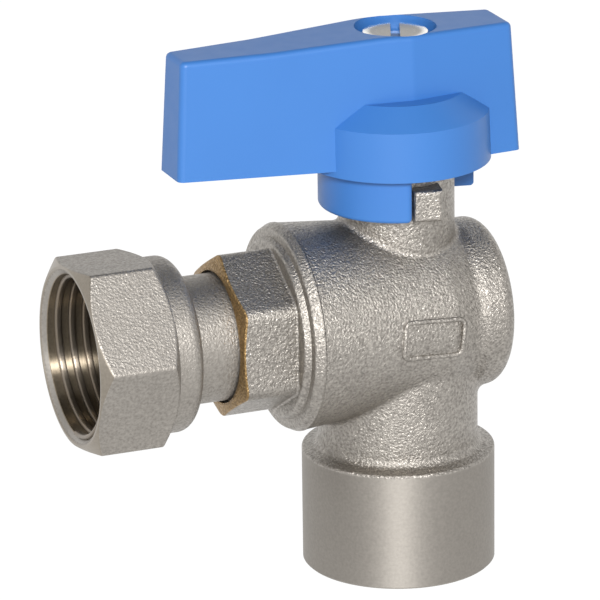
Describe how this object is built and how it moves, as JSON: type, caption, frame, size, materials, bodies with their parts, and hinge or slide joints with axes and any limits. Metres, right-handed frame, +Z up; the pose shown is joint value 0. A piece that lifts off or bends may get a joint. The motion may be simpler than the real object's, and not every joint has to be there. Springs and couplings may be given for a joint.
{
  "type": "angle ball valve with union nut",
  "caption": "Angle ball valve: threaded inlet socket below, swivelling union nut at the side, and a quarter-turn lever on top that turns an L-port ball.",
  "frame": {"origin": "centre of the inlet socket's end face, on which the valve stands", "axes": "+Z up along the inlet and the stem, towards the lever; -X out of the union nut; the open lever points along -X"},
  "size_m": [0.0755, 0.0338, 0.0903],
  "materials": {
    "nickel_plated_brass": "nickel-plated, sandblasted on the forged faces",
    "bare_brass": "turned brass",
    "lever_plastic": "satin moulded blue",
    "chromed_ball": "polished",
    "seat_ptfe": "white PTFE",
    "seal_rubber": "black rubber",
    "zinc_steel": "plated steel"
  },
  "bodies": {
    "housing": {"valve_body": "nickel_plated_brass", "end_connector": "nickel_plated_brass", "seat_ring_outlet": "seat_ptfe", "seat_ring_rear": "seat_ptfe", "union_snap_ring": "zinc_steel"},
    "union": {"union_nut": "nickel_plated_brass", "union_oring_inner": "seal_rubber", "union_oring_outer": "seal_rubber", "union_gasket": "seal_rubber"},
    "ball": {"ball": "chromed_ball"},
    "lever": {"lever": "lever_plastic", "stem": "bare_brass", "stem_oring_lower": "seal_rubber", "stem_oring_upper": "seal_rubber", "stem_thrust_washer": "seat_ptfe", "lever_screw": "zinc_steel", "lever_spring_washer": "zinc_steel"}
  },
  "joints": [
    {"name": "lever_turn", "type": "hinge", "parent": "housing", "child": "lever", "pos_m": [0, 0, 0.0699], "axis": [0, 0, -1], "range_deg": [0, 90]},
    {"name": "ball_turn", "type": "hinge", "parent": "housing", "child": "ball", "pos_m": [0, 0, 0.0423], "axis": [0, 0, -1], "range_deg": [0, 90]},
    {"name": "union_spin", "type": "hinge", "parent": "housing", "child": "union", "pos_m": [-0.0268, 0, 0.0423], "axis": [-1, 0, 0], "continuous": true}
  ],
  "couplings": [
    {"joint": "ball_turn", "follows": "lever_turn", "ratio": 1}
  ]
}
